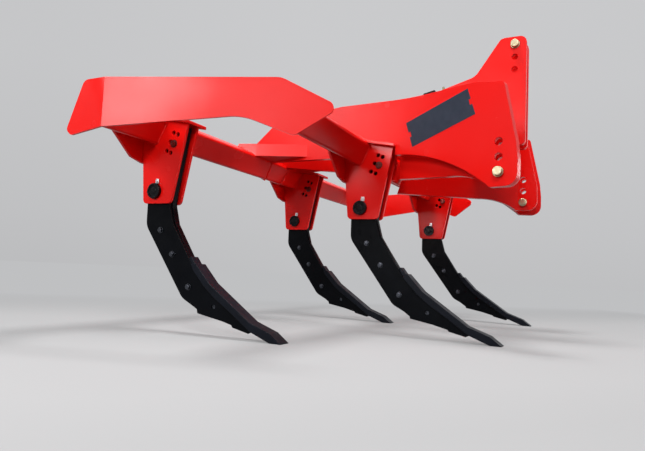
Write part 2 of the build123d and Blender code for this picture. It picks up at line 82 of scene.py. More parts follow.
# Limits for merging points, flattening faces and easing edges
MERGE = 0.00002
FLAT_ANGLE = math.radians(0.4)
EDGE_ANGLE = math.radians(28)

HALF_TURN = Matrix.Rotation(math.pi, 4, "Z")


def alone(piece):
    """Makes one piece the only selected and active one."""
    if bpy.context.mode != "OBJECT":
        bpy.ops.object.mode_set(mode="OBJECT")
    bpy.ops.object.select_all(action="DESELECT")
    piece.select_set(True)
    bpy.context.view_layer.objects.active = piece


def apply_all(piece):
    """Applies the piece's modifiers in their order."""
    alone(piece)
    for modifier in list(piece.modifiers):
        bpy.ops.object.modifier_apply(modifier=modifier.name)


def eased(piece, width, segments=2):
    """Rounds the sharp edges and keeps the flats flat."""
    alone(piece)
    bpy.ops.object.shade_smooth()
    bevel = piece.modifiers.new("eased_edges", "BEVEL")
    bevel.width = width
    bevel.segments = segments
    bevel.limit_method = "ANGLE"
    bevel.angle_limit = EDGE_ANGLE
    bevel.miter_outer = "MITER_ARC"
    flats = piece.modifiers.new("flat_faces", "WEIGHTED_NORMAL")
    flats.keep_sharp = True
    apply_all(piece)


def pick_faces(piece, chosen):
    """Opens the piece with just the chosen faces selected."""
    alone(piece)
    bpy.ops.object.mode_set(mode="EDIT")
    bpy.ops.mesh.select_mode(type="FACE")
    bpy.ops.mesh.select_all(action="DESELECT")
    bpy.ops.object.mode_set(mode="OBJECT")
    for face in piece.data.polygons:
        face.select = chosen(face)
    bpy.ops.object.mode_set(mode="EDIT")


def joined(pieces, name):
    """Joins pieces into the first one."""
    bpy.ops.object.select_all(action="DESELECT")
    for piece in pieces:
        piece.select_set(True)
    bpy.context.view_layer.objects.active = pieces[0]
    bpy.ops.object.join()
    pieces[0].name = name
    return pieces[0]


def twin(piece, move):
    """Copy of a piece with its own mesh, set in another place."""
    copy = bpy.data.objects.new(piece.name + "_copy", piece.data.copy())
    bpy.context.scene.collection.objects.link(copy)
    copy.data.transform(move)
    return copy


def put_away(*patterns):
    """Removes patterns once their copies are in place."""
    for pattern in patterns:
        bpy.data.objects.remove(pattern)


def at(x, y, z):
    """Move to a place."""
    return Matrix.Translation((x, y, z))


def fitted(piece, name, finish, slot, replaced=()):
    """Gives a finished piece its name, finish and body; the slot is not used."""
    piece.name = name
    piece.data.name = name
    piece.data.materials.clear()
    piece.data.materials.append(finish)
    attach(piece, "root")
    if replaced:
        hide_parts(*replaced)


# Node trees of the finishes and of the studio


class Nodes:
    """Node tree with the few links that every finish and the studio need."""

    def __init__(self, owner):
        owner.use_nodes = True
        self.tree = owner.node_tree

    def new(self, kind):
        """New node of a kind."""
        return self.tree.nodes.new("ShaderNode" + kind)

    def feed(self, socket, value):
        """Sets a socket's number or colour, or links the socket that gives it."""
        if isinstance(value, (float, tuple)):
            socket.default_value = value
        else:
            self.tree.links.new(value, socket)

    def ramp(self, source, stops):
        """Colour ramp over a value, each stop a position and a colour."""
        ramp = self.new("ValToRGB")
        while len(ramp.color_ramp.elements) < len(stops):
            ramp.color_ramp.elements.new(0.5)
        for element, (position, colour) in zip(ramp.color_ramp.elements, stops):
            element.position = position
            element.color = (*colour, 1)
        self.feed(ramp.inputs["Fac"], source)
        return ramp.outputs["Color"]


# Values between which a noise mostly stays
NOISE_LOW = 0.3
NOISE_HIGH = 0.7


class Finish(Nodes):
    """A surface finish built from noise in the object's own space."""

    def __init__(self, name, specular=0.5, metallic=0.0):
        self.material = bpy.data.materials.new(name)
        super().__init__(self.material)
        self.surface = self.tree.nodes["Principled BSDF"].inputs
        self.surface["Specular IOR Level"].default_value = specular
        self.surface["Metallic"].default_value = metallic
        self.place = self.new("TexCoord").outputs["Object"]

    def noise(self, scale, detail=4.0, roughness=0.5, stretch=None):
        """Noise at a scale in cells per metre, drawn out along an axis if asked."""
        place = self.place
        if stretch:
            mapping = self.new("Mapping")
            self.feed(mapping.inputs["Scale"], stretch)
            self.feed(mapping.inputs["Vector"], place)
            place = mapping.outputs["Vector"]
        noise = self.new("TexNoise")
        self.feed(noise.inputs["Scale"], scale)
        self.feed(noise.inputs["Detail"], detail)
        self.feed(noise.inputs["Roughness"], roughness)
        self.feed(noise.inputs["Vector"], place)
        return noise.outputs["Fac"]

    def colours(self, source, *stops):
        """Colours that change over a noise."""
        self.feed(self.surface["Base Color"], self.ramp(source, stops))

    def shine(self, source, low, high):
        """Roughness that goes from low to high over a noise."""
        spread = self.new("MapRange")
        self.feed(spread.inputs["Value"], source)
        self.feed(spread.inputs["From Min"], NOISE_LOW)
        self.feed(spread.inputs["From Max"], NOISE_HIGH)
        self.feed(spread.inputs["To Min"], low)
        self.feed(spread.inputs["To Max"], high)
        self.feed(self.surface["Roughness"], spread.outputs["Result"])

    def relief(self, *layers):
        """Fine bumps, each layer a noise and its height in metres."""
        normal = None
        for source, height in layers:
            bump = self.new("Bump")
            self.feed(bump.inputs["Distance"], height)
            self.feed(bump.inputs["Height"], source)
            if normal:
                self.feed(bump.inputs["Normal"], normal)
            normal = bump.outputs["Normal"]
        self.feed(self.surface["Normal"], normal)


# Finishes


def red_paint():
    """Glossy red enamel with a soft waviness."""
    paint = Finish("red_paint", specular=0.2)
    paint.colours(
        paint.noise(1.6, 5.0),
        (0.25, (0.78, 0.0045, 0.003)),
        (0.5, (0.83, 0.006, 0.004)),
        (0.75, (0.87, 0.008, 0.006)),
    )
    paint.shine(paint.noise(7.0, 3.0), 0.21, 0.28)
    paint.relief((paint.noise(9.0, 2.0), 0.0007), (paint.noise(420.0, 2.0), 0.00003))
    return paint.material


def leg_black():
    """Satin black powder coat on the leg plates."""
    coat = Finish("satin_black", specular=0.06)
    coat.colours(
        coat.noise(14.0, 6.0),
        (0.3, (0.0012, 0.0015, 0.0024)),
        (0.55, (0.0018, 0.0023, 0.0036)),
        (0.8, (0.003, 0.0037, 0.0055)),
    )
    coat.shine(coat.noise(22.0, 5.0), 0.26, 0.42)
    coat.relief((coat.noise(60.0, 3.0), 0.0002), (coat.noise(900.0, 2.0), 0.00005))
    return coat.material


def point_black():
    """Black of the forged points, with a rolled grain; its blue cast is partly its own colour and
    partly a painted bluish sheen of the light on the top faces.
    """
    coat = Finish("forged_black", specular=0.12)
    # Blue cast partly painted: a bluish sheen of the light, spread over the whole point
    coat.colours(
        coat.noise(11.0, 6.0),
        (0.3, (0.0024, 0.0033, 0.0066)),
        (0.55, (0.0036, 0.0050, 0.0095)),
        (0.8, (0.006, 0.0078, 0.013)),
    )
    coat.shine(coat.noise(30.0, 5.0), 0.33, 0.5)
    grain = coat.noise(45.0, 4.0, stretch=(1, 0.4, 1))
    coat.relief((grain, 0.0004), (coat.noise(700.0, 2.0), 0.00006))
    return coat.material


def cap_black():
    """Moulded black of the pivot caps and the mast block."""
    cap = Finish("cap_black", specular=0.16)
    cap.colours(
        cap.noise(90.0, 4.0),
        (0.3, (0.0014, 0.0018, 0.0028)),
        (0.7, (0.0032, 0.004, 0.0058)),
    )
    cap.shine(cap.noise(60.0, 3.0), 0.2, 0.34)
    cap.relief((cap.noise(1200.0, 2.0), 0.00004))
    return cap.material


def bolt_black():
    """Blackened steel of the leg bolts."""
    bolt = Finish("blackened_bolt", metallic=0.9)
    bolt.colours(
        bolt.noise(160.0, 4.0),
        (0.3, (0.035, 0.038, 0.047)),
        (0.7, (0.075, 0.08, 0.095)),
    )
    bolt.shine(bolt.noise(120.0, 3.0), 0.26, 0.42)
    bolt.relief((bolt.noise(1500.0, 2.0), 0.00004))
    return bolt.material


def yellow_zinc():
    """Yellow passivated zinc with its pink and green clouds."""
    zinc = Finish("yellow_zinc", metallic=1.0)
    zinc.colours(
        zinc.noise(70.0, 5.0, 0.6),
        (0.25, (0.264, 0.244, 0.145)),
        (0.45, (0.356, 0.298, 0.184)),
        (0.6, (0.383, 0.335, 0.228)),
        (0.8, (0.343, 0.250, 0.184)),
    )
    zinc.shine(zinc.noise(90.0, 4.0), 0.3, 0.46)
    zinc.relief((zinc.noise(900.0, 3.0), 0.00005))
    return zinc.material


def plain_zinc():
    """Bright zinc plating."""
    zinc = Finish("plain_zinc", metallic=1.0)
    zinc.colours(
        zinc.noise(80.0, 5.0, 0.6),
        (0.25, (0.5, 0.51, 0.53)),
        (0.5, (0.66, 0.67, 0.69)),
        (0.8, (0.78, 0.79, 0.8)),
    )
    zinc.shine(zinc.noise(100.0, 4.0), 0.22, 0.4)
    zinc.relief((zinc.noise(900.0, 3.0), 0.00005))
    return zinc.material


def shear_steel():
    """Dull steel of the shear bolts, dark red in patches over a noise."""
    steel = Finish("red_patched_steel", metallic=0.8)
    steel.colours(
        steel.noise(110.0, 5.0, 0.6),
        (0.25, (0.20, 0.012, 0.009)),
        (0.48, (0.15, 0.028, 0.022)),
        (0.64, (0.12, 0.085, 0.08)),
    )
    steel.shine(steel.noise(100.0, 4.0), 0.26, 0.44)
    steel.relief((steel.noise(900.0, 3.0), 0.00005))
    return steel.material


def sign_slate():
    """Slate blue film of the blank sign."""
    film = Finish("slate_film", specular=0.2)
    film.colours(
        film.noise(30.0, 6.0),
        (0.3, (0.016, 0.023, 0.040)),
        (0.5, (0.020, 0.028, 0.047)),
        (0.75, (0.026, 0.035, 0.056)),
    )
    film.shine(film.noise(18.0, 3.0), 0.34, 0.46)
    film.relief((film.noise(1100.0, 2.0), 0.00003))
    return film.material


RED = red_paint()
BLACK = leg_black()
FORGED = point_black()
CAP = cap_black()
BOLT = bolt_black()
GOLD = yellow_zinc()
ZINC = plain_zinc()
DULL = shear_steel()
SLATE = sign_slate()

# Plates, tubes and bars of the frame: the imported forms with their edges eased
FRAME_PLATES = (
    "side_plate_right",
    "side_plate_left",
    "side_plate_mounts",
    "rear_beam",
    "front_beam",
    "headstock_beam",
    "hitch_plate_right",
    "hitch_plate_left",
    "hitch_inner_plate_right",
    "hitch_inner_plate_left",
    "mast_plate_right",
    "mast_plate_left",
    "knee_brace_right",
    "knee_brace_left",
    "bracket_caps",
    "bracket_gussets",
)


def on_each_leg(node):
    """Names of a node at each leg."""
    return [f"{node}_{place}" for place, _, _ in LEGS]


# Nodes, finish, slot and width of the eased edge
PLATES = (
    (FRAME_PLATES, RED, "red_paint", 0.0016),
    (on_each_leg("bracket_cheeks"), RED, "red_paint", 0.0014),
    (on_each_leg("shank"), BLACK, "black_steel", 0.0014),
    (on_each_leg("shank_side_plates"), BLACK, "black_steel", 0.0014),
    (on_each_leg("point"), FORGED, "black_steel", 0.0022),
    (("mast_block",), CAP, "black_caps", 0.0015),
)


def eased_plate(node, finish, slot, width):
    """Copy of a packed plate, merged, with its edges eased."""
    piece = bpy.data.objects.new(node + "_eased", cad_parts[node].data.copy())
    bpy.context.scene.collection.objects.link(piece)
    alone(piece)
    bpy.ops.mesh.customdata_custom_splitnormals_clear()
    bpy.ops.object.mode_set(mode="EDIT")
    bpy.ops.mesh.select_all(action="SELECT")
    bpy.ops.mesh.remove_doubles(threshold=MERGE)
    bpy.ops.mesh.dissolve_limited(angle_limit=FLAT_ANGLE)
    bpy.ops.object.mode_set(mode="OBJECT")
    eased(piece, width)
    fitted(piece, node + "_eased", finish, slot, (node,))


for nodes, finish, slot, width in PLATES:
    for node in nodes:
        eased_plate(node, finish, slot, width)


# Turned and six-sided pieces, made facing right


class Turned(NamedTuple):
    """Shape of a washer, head, nut or bar: its outer end is stepped by rows of inset and rise."""

    sides: int
    radius: float
    depth: float
    steps: tuple = ()
    ease: float = 0.0006
    turn: float = 0.0


def turned(shape, seat):
    """Turned or six-sided piece that stands on a seat at a distance from the middle."""
    bpy.ops.object.select_all(action="DESELECT")
    bpy.ops.mesh.primitive_cylinder_add(
        vertices=shape.sides,
        radius=shape.radius,
        depth=shape.depth,
        location=(0, -seat - shape.depth / 2, 0),
        rotation=(math.pi / 2, shape.turn, 0),
    )
    piece = bpy.context.object
    bpy.ops.object.transform_apply(location=True, rotation=True, scale=True)
    outer = -seat - shape.depth
    pick_faces(piece, lambda face: face.center.y < outer + MERGE)
    for inset, rise in shape.steps:
        bpy.ops.mesh.inset(thickness=inset, depth=rise)
    bpy.ops.object.mode_set(mode="OBJECT")
    eased(piece, shape.ease)
    return piece


def both_sides(piece):
    """Adds the piece's mirror image on the left."""
    mirror = piece.modifiers.new("left_side", "MIRROR")
    mirror.use_axis = (False, True, False)
    mirror.use_mirror_merge = False
    apply_all(piece)
    return piece


def tapered_block(size, place, narrow_end, taper):
    """Block whose end face, found by its place, is narrowed."""
    bpy.ops.object.select_all(action="DESELECT")
    bpy.ops.mesh.primitive_cube_add(size=1, location=place, scale=size)
    piece = bpy.context.object
    bpy.ops.object.transform_apply(location=True, rotation=True, scale=True)
    pick_faces(piece, narrow_end)
    bpy.ops.transform.resize(value=taper)
    bpy.ops.object.mode_set(mode="OBJECT")
    return piece


# Leg pivots: a bar with a stepped round cap at each end
# The cap's steps are its chamfer, rim, sunk wall, sunk floor, boss and the boss's crown
PIVOT_BAR = Turned(sides=32, radius=0.015, depth=2 * CHEEK_FACE_Y)
PIVOT_CAP = Turned(
    sides=64,
    radius=0.029,
    depth=0.0116,
    steps=(
        (0.0016, 0.0014),
        (0.0055, 0.0),
        (0.0012, -0.0042),
        (0.0078, 0.0),
        (0.0016, 0.0022),
        (0.004, 0.0003),
    ),
    ease=0.0008,
)


def leg_pivot():
    """Pivot bar with its two caps."""
    caps = both_sides(turned(PIVOT_CAP, CHEEK_FACE_Y))
    return joined([caps, turned(PIVOT_BAR, -CHEEK_FACE_Y)], "pivot")


pivot = leg_pivot()
for place, row_x, leg_y in LEGS:
    piece = twin(pivot, at(row_x, leg_y, PIVOT_Z))
    fitted(piece, f"pivot_with_caps_{place}", CAP, "black_caps", (f"pivot_pin_{place}",))
put_away(pivot)

# Keepers: a small bright tab with a screw over each pivot cap
KEEPER_X = 0.010
KEEPER_Z = 0.0365
TAB_WIDTH = 0.017
TAB_DEPTH = 0.005
TAB_HEIGHT = 0.018
TAB_TAPER = (0.8, 1, 1)
TAB_EASE = 0.0013
SCREW = Turned(
    sides=28,
    radius=0.0052,
    depth=0.003,
    steps=((0.0009, 0.0008), (0.0016, 0.0), (0.0005, -0.0012)),
    ease=0.0003,
)


def keeper_tab():
    """Tab that narrows upward, with rounded corners and a round screw."""
    tab = tapered_block(
        (TAB_WIDTH, TAB_DEPTH, TAB_HEIGHT),
        (0, -CHEEK_FACE_Y - TAB_DEPTH / 2, 0),
        lambda face: face.center.z > TAB_HEIGHT / 2 - MERGE,
        TAB_TAPER,
    )
    eased(tab, TAB_EASE, segments=3)
    return both_sides(joined([tab, turned(SCREW, CHEEK_FACE_Y + TAB_DEPTH)], "keeper"))


keeper = keeper_tab()
for place, row_x, leg_y in LEGS:
    piece = twin(keeper, at(row_x + KEEPER_X, leg_y, PIVOT_Z + KEEPER_Z))
    fitted(piece, f"keepers_{place}", ZINC, "plain_zinc")
put_away(keeper)

# Shear bolts: head and washer on the right, nut and thread on the left
SHEAR_X = 0.074
SHEAR_Z = 0.174
SHEAR_BAR = Turned(sides=24, radius=0.008, depth=2 * CHEEK_FACE_Y)
SHEAR_WASHER = Turned(sides=36, radius=0.0148, depth=0.0022, ease=0.0005)
SHEAR_HEAD = Turned(
    sides=6,
    radius=0.0128,
    depth=0.0062,
    steps=((0.0012, 0.0009), (0.0004, 0.0)),
    ease=0.0007,
    turn=math.radians(9),
)
SHEAR_NUT = Turned(
    sides=6,
    radius=0.0128,
    depth=0.0052,
    steps=((0.0012, 0.0008), (0.0038, 0.0), (0.0006, 0.0014)),
)


def shear_bolt():
    """Bolt through the two cheeks, with a washer under head and nut."""
    washers = both_sides(turned(SHEAR_WASHER, CHEEK_FACE_Y))
    head = turned(SHEAR_HEAD, CHEEK_FACE_Y + SHEAR_WASHER.depth)
    nut = turned(SHEAR_NUT, CHEEK_FACE_Y + SHEAR_WASHER.depth)
    nut.data.transform(HALF_TURN)
    return joined([washers, head, nut, turned(SHEAR_BAR, -CHEEK_FACE_Y)], "shear_bolt")


shear = shear_bolt()
row = [twin(shear, at(row_x + SHEAR_X, leg_y, PIVOT_Z + SHEAR_Z)) for _, row_x, leg_y in LEGS]
fitted(joined(row, "shear"), "shear_bolts_turned", DULL, "plain_zinc", ("shear_bolts",))
put_away(shear)

# Leg bolts: six-sided heads on washers on both faces, and the sunk bolts of the points
# Place of each bolt ahead of the pivot and above it
LEG_BOLTS = ((0.029, -0.143), (0.091, -0.230), (0.174, -0.343))
POINT_BOLT = (0.287, -0.405)
LEG_WASHER = Turned(sides=32, radius=0.0115, depth=0.0016, ease=0.0004)
LEG_HEAD = Turned(
    sides=6,
    radius=0.0096,
    depth=0.0058,
    steps=((0.0011, 0.0010), (0.0018, 0.0004)),
    turn=math.radians(20),
)
# Bolt of a point: its head, with a socket in it, ends below the leg's face
SUNK_BELOW_FACE = 0.0052
SUNK_BOLT = Turned(
    sides=24,
    radius=0.0079,
    depth=LEG_FACE_Y - SUNK_BELOW_FACE,
    steps=((0.0009, 0.0006), (0.0024, 0.0), (0.0003, -0.003)),
    ease=0.0003,
)


def leg_bolt():
    """Head on a washer on each side of a leg."""
    washer = turned(LEG_WASHER, LEG_FACE_Y)
    head = turned(LEG_HEAD, LEG_FACE_Y + LEG_WASHER.depth)
    return both_sides(joined([washer, head], "leg_bolt"))


bolt = leg_bolt()
sunk_bolt = both_sides(turned(SUNK_BOLT, 0.0))
for place, row_x, leg_y in LEGS:
    row = [twin(bolt, at(row_x + x, leg_y, PIVOT_Z + z)) for x, z in LEG_BOLTS]
    row.append(twin(sunk_bolt, at(row_x + POINT_BOLT[0], leg_y, PIVOT_Z + POINT_BOLT[1])))
    fitted(joined(row, "bolts"), f"leg_bolts_{place}", BOLT, "black_steel")
put_away(bolt, sunk_bolt)

# Hitch pins: washer and chamfered head outside, washer and round nut on the inner end
KNOB_STEPS = ((0.0011, 0.0010), (0.0040, 0.0002))
PIN_WASHER = Turned(sides=48, radius=0.0184, depth=0.003)
PIN_KNOB = Turned(sides=56, radius=0.0158, depth=0.0150, steps=KNOB_STEPS)
PIN_NUT = Turned(sides=56, radius=0.0152, depth=0.0118, steps=KNOB_STEPS)
PIN_SIDES = 48
TAIL_INSET = 0.0025
TAIL_RISE = 0.002

# Lower pins: the seat and the tail are measured from the middle, the tail ends past the
# inner plate of its clevis, and the nut stands back from that end
LOWER_PIN_RADIUS = 0.014
LOWER_SEAT_Y = 0.446
LOWER_TAIL_REACH = 0.012
LOWER_NUT_BACK = 0.006
LOWER_CLEVIS = HITCH_PLATE / math.cos(HITCH_SPLAY) + CLEVIS_GAP + INNER_PLATE
LOWER_TAIL_Y = HITCH_FACE_Y - LOWER_CLEVIS - LOWER_TAIL_REACH

# Top pin: the tail ends past the left mast plate, with a small gap under each washer
TOP_PIN_RADIUS = 0.0125
TOP_TAIL_REACH = 0.0137
SEAT_GAP = 0.0003


def link_pin(radius, seat, tail, nut_seat):
    """Link pin with its head on the right; seats and tail are measured toward the right."""
    washer = turned(PIN_WASHER, seat)
    knob = turned(PIN_KNOB, seat + PIN_WASHER.depth)
    length = seat - tail
    tail_step = ((TAIL_INSET, TAIL_RISE),)
    bar = turned(Turned(PIN_SIDES, radius, length - TAIL_RISE, tail_step), 0.0)
    bar.data.transform(at(0, -tail, 0) @ HALF_TURN @ at(0, length, 0))
    nut = joined([turned(PIN_WASHER, 0.0), turned(PIN_NUT, PIN_WASHER.depth)], "nut")
    nut.data.transform(at(0, -nut_seat, 0) @ HALF_TURN)
    return joined([washer, knob, bar, nut], "link_pin")


lower_nut_seat = LOWER_TAIL_Y + LOWER_NUT_BACK
right_pin = link_pin(LOWER_PIN_RADIUS, LOWER_SEAT_Y, LOWER_TAIL_Y, lower_nut_seat)
right_pin.data.transform(at(LINK_X, 0, LINK_Z))
left_pin = twin(right_pin, Matrix.Scale(-1, 4, (0, 1, 0)))
left_pin.data.flip_normals()
for side, pin in (("right", right_pin), ("left", left_pin)):
    node = f"lower_link_pin_{side}"
    fitted(pin, node + "_turned", GOLD, "yellow_zinc", (node,))

top_seat = MAST_FACE_Y + SEAT_GAP
top_pin = link_pin(TOP_PIN_RADIUS, top_seat, -MAST_FACE_Y - TOP_TAIL_REACH, -top_seat)
top_pin.data.transform(at(LINK_X, 0, TOP_Z))
fitted(top_pin, "top_link_pin_turned", GOLD, "yellow_zinc", ("top_link_pin",))

# Blank sign on the right headstock plate, notched at its short ends
SIGN_LENGTH = 0.279
SIGN_HEIGHT = 0.105
SIGN_NOTCH = 0.009
SIGN_SHEET = 0.0012
SIGN_EASE = 0.0004
SIGN_ALONG = -0.239
SIGN_Z = 0.831
SIGN_TILT = math.radians(18.2)
SIGN_COLUMNS = 3
SIGN_ROWS = 5


def blank_sign():
    """Notched sign facing right, lying on the headstock plate's outer face."""
    bpy.ops.object.select_all(action="DESELECT")
    bpy.ops.mesh.primitive_grid_add(x_subdivisions=SIGN_COLUMNS, y_subdivisions=SIGN_ROWS, size=1)
    sign = bpy.context.object
    sign.scale = (SIGN_LENGTH, SIGN_HEIGHT, 1)
    bpy.ops.object.transform_apply(location=True, rotation=True, scale=True)
    half_column = SIGN_LENGTH / SIGN_COLUMNS / 2
    half_row = SIGN_HEIGHT / SIGN_ROWS / 2
    pick_faces(sign, lambda face: abs(face.center.x) < half_column / 2)
    bpy.ops.transform.resize(value=((SIGN_LENGTH / 2 - SIGN_NOTCH) / half_column, 1, 1))
    pick_faces(
        sign,
        lambda face: abs(face.center.x) > half_column and abs(face.center.y) < half_row,
    )
    bpy.ops.mesh.delete(type="FACE")
    bpy.ops.mesh.select_all(action="SELECT")
    bpy.ops.mesh.dissolve_limited(angle_limit=FLAT_ANGLE)
    bpy.ops.mesh.select_all(action="SELECT")
    bpy.ops.mesh.extrude_region_move(TRANSFORM_OT_translate={"value": (0, 0, SIGN_SHEET)})
    bpy.ops.mesh.select_all(action="SELECT")
    bpy.ops.mesh.normals_make_consistent(inside=False)
    bpy.ops.object.mode_set(mode="OBJECT")
    plate_face = at(LINK_X, -HITCH_FACE_Y, SIGN_Z) @ Matrix.Rotation(-HITCH_SPLAY, 4, "Z")
    tilt = Matrix.Rotation(-SIGN_TILT, 4, "Y")
    upright = Matrix.Rotation(math.pi / 2, 4, "X")
    sign.data.transform(plate_face @ at(SIGN_ALONG, 0, 0) @ tilt @ upright)
    eased(sign, SIGN_EASE)
    return sign


fitted(blank_sign(), "blank_sign_right", SLATE, "black_caps")

# Pad on the slope of the mast block, and the bolt in its low step
PAD_LENGTH = 0.0540
PAD_WIDTH = 0.0440
PAD_HEIGHT = 0.0190
PAD_LIFT = 0.0085
PAD_NOSE = (1, 0.78, 0.85)
PAD_EASE = 0.0042
PAD_PLACE = (0.2285, 0, 1.0475)
PAD_SLOPE = math.radians(17)
MAST_BOLT_PLACE = (0.288, 0, 1.055)
MAST_BOLT_LEAN = math.radians(-8)
# The bolt's steps are its chamfer, the top of its head, the thread and the thread's end
MAST_BOLT = Turned(
    sides=6,
    radius=0.0105,
    depth=0.011,
    steps=((0.0012, 0.0011), (0.0026, 0.0), (0.0003, 0.0170), (0.0010, 0.0008)),
    ease=0.0005,
)


def block_pad():
    """Black pad with a narrow rounded nose."""
    pad = tapered_block(
        (PAD_LENGTH, PAD_WIDTH, PAD_HEIGHT),
        (0, 0, PAD_LIFT),
        lambda face: face.center.x > PAD_LENGTH / 2 - MERGE,
        PAD_NOSE,
    )
    eased(pad, PAD_EASE, segments=4)
    pad.data.transform(at(*PAD_PLACE) @ Matrix.Rotation(-PAD_SLOPE, 4, "Y"))
    return pad


def mast_bolt():
    """Upright bolt with a long thread, leaning a little."""
    bolt = turned(MAST_BOLT, 0.0)
    lean = Matrix.Rotation(MAST_BOLT_LEAN, 4, "Y")
    upright = Matrix.Rotation(-math.pi / 2, 4, "X")
    bolt.data.transform(at(*MAST_BOLT_PLACE) @ lean @ upright)
    return bolt


fitted(block_pad(), "mast_block_pad", CAP, "black_caps")
fitted(mast_bolt(), "mast_block_bolt", GOLD, "yellow_zinc")

# Welds: rows of overlapping drops under the paint
BRACKET_WELD = 0.0042
HEADSTOCK_WELD = 0.005
WELD_PITCH = 0.0036
# Share that a drop is squeezed to along its weld, and the fineness of its mesh
DROP_SHARE = 0.72
DROP_SEGMENTS = 12
DROP_RINGS = 8
# Shares of a beam's face that a weld runs from and to, and where the gusset stops one
WELD_FROM = 0.08
WELD_TO = 0.92
GUSSET_WELD_FROM = 0.1
GUSSET_WELD_TO = 0.72


def weld_row(start, end, radius):
    """One weld from start to end."""
    run = end - start
    bpy.ops.object.select_all(action="DESELECT")
    bpy.ops.mesh.primitive_uv_sphere_add(
        segments=DROP_SEGMENTS,
        ring_count=DROP_RINGS,
        radius=radius,
    )
    drop = bpy.context.object
    drop.scale = (DROP_SHARE, 1.0, 1.0)
    bpy.ops.object.transform_apply(location=True, rotation=True, scale=True)
    bpy.ops.object.shade_smooth()
    row = drop.modifiers.new("weld_row", "ARRAY")
    row.use_relative_offset = False
    row.use_constant_offset = True
    row.constant_offset_displace = (WELD_PITCH, 0, 0)
    row.count = int(run.length / WELD_PITCH)
    apply_all(drop)
    turn = run.to_track_quat("X", "Z").to_matrix().to_4x4()
    drop.data.transform(Matrix.Translation(start) @ turn)
    return drop


def beam_corner(row_x, forward, up, y=0.0):
    """Corner of a row's beam, counted in half sides forward and up along its tilt."""
    ahead = BEAM_SIDE / 2 * forward
    above = BEAM_SIDE / 2 * up
    x = ahead * math.cos(BEAM_TILT) + above * math.sin(BEAM_TILT) - BEAM_SETBACK
    z = above * math.cos(BEAM_TILT) - ahead * math.sin(BEAM_TILT) + BEAM_RISE
    return Vector((row_x + x, y, PIVOT_Z + z))


def beam_faces(row_x, y=0.0):
    """Front and lower faces of a row's beam, each by its two corners."""
    front, foot, rear = (beam_corner(row_x, *sides, y) for sides in ((1, 1), (1, -1), (-1, -1)))
    return (front, foot), (foot, rear)


def weld_between(ends, low, high, radius):
    """Weld between two shares of the way from one end to the other."""
    start, end = ends
    return weld_row(start.lerp(end, low), start.lerp(end, high), radius)


def bracket_welds(row_x, leg_y):
    """Welds between a bracket's cheeks and the beam, on the cheeks' outer faces."""
    rows = []
    for side in (-1, 1):
        front_face, lower_face = beam_faces(row_x, leg_y + side * CHEEK_FACE_Y)
        rows.append(weld_between(front_face, WELD_FROM, WELD_TO, BRACKET_WELD))
        rows.append(weld_between(lower_face, GUSSET_WELD_FROM, GUSSET_WELD_TO, BRACKET_WELD))
    return rows


def on_hitch_face(corner, side):
    """A beam's corner moved sideways to a headstock plate's outer face."""
    y = HITCH_FACE_Y - (LINK_X - corner.x) * math.tan(HITCH_SPLAY)
    return Vector((corner.x, side * y, corner.z))


def headstock_welds(side):
    """Welds round both beams on a headstock plate, and round the front beam on a mast plate."""
    runs = []
    for row_x in (REAR_X, FRONT_X):
        for face in beam_faces(row_x):
            runs.append([on_hitch_face(corner, side) for corner in face])
    runs += beam_faces(FRONT_X, side * MAST_FACE_Y)
    return [weld_between(run, WELD_FROM, WELD_TO, HEADSTOCK_WELD) for run in runs]


for place, row_x, leg_y in LEGS:
    welds = joined(bracket_welds(row_x, leg_y), "welds")
    fitted(welds, f"bracket_welds_{place}", RED, "red_paint")
for side, name in ((-1, "right"), (1, "left")):
    welds = joined(headstock_welds(side), "welds")
    fitted(welds, f"headstock_welds_{name}", RED, "red_paint")

# Camera at the photograph's view, its angles in radians and its lens in millimetres
CAMERA_PLACE = Vector((0.87405, -2.3526, 0.2378))
CAMERA_YAW = 0.457498
CAMERA_PITCH = 0.0845488
CAMERA_ROLL = 0.0479023
CAMERA_LENS = 30.42
CAMERA_SENSOR = 36
CAMERA_CLIP = 0.05
LEVEL_AHEAD = Vector((-math.sin(CAMERA_YAW), math.cos(CAMERA_YAW), 0))
LEVEL_RIGHT = Vector((math.cos(CAMERA_YAW), math.sin(CAMERA_YAW), 0))


def set_camera():
    """Camera turned by yaw, pitch and roll."""
    up = Vector((0, 0, 1))
    ahead = LEVEL_AHEAD * math.cos(CAMERA_PITCH) + up * math.sin(CAMERA_PITCH)
    rise = up * math.cos(CAMERA_PITCH) - LEVEL_AHEAD * math.sin(CAMERA_PITCH)
    right = LEVEL_RIGHT * math.cos(CAMERA_ROLL) + rise * math.sin(CAMERA_ROLL)
    top = rise * math.cos(CAMERA_ROLL) - LEVEL_RIGHT * math.sin(CAMERA_ROLL)
    lens = bpy.data.cameras.new("camera")
    lens.lens = CAMERA_LENS
    lens.sensor_width = CAMERA_SENSOR
    lens.clip_start = CAMERA_CLIP
    camera = bpy.data.objects.new("camera", lens)
    bpy.context.scene.collection.objects.link(camera)
    turn = Matrix((right, top, -ahead)).transposed()
    camera.matrix_world = Matrix.Translation(CAMERA_PLACE) @ turn.to_4x4()
    bpy.context.scene.camera = camera


set_camera()

# Studio: a pale floor that runs into a grey wall, with soft boxes
# Tones are rows of a share of the way and a level
SKY_TONES = ((0.0, 0.06), (0.5, 0.24), (1.0, 0.6))
SKY_CAST = 1.02
WALL_TONES = ((0.49, 0.525), (0.54, 0.55), (0.66, 0.59))
WALL_CAST = 1.025
WALL_WIDTH = 0.45
ACROSS_TONES = ((0.0, 0.955), (0.45, 1.0), (1.0, 0.985))

FLOOR_SIZE = 60
FLOOR_RUN = (-1.05, 1, 0)
FLOOR_NEAR = -3.0
FLOOR_FAR = 5.0
FLOOR_TONES = (
    (0.1, 0.64),
    (0.155, 0.67),
    (0.245, 0.68),
    (0.315, 0.64),
    (0.37, 0.64),
    (0.43, 0.64),
    (0.66, 0.558),
)
FLOOR_CAST = 1.012
FLOOR_GAIN = 0.6
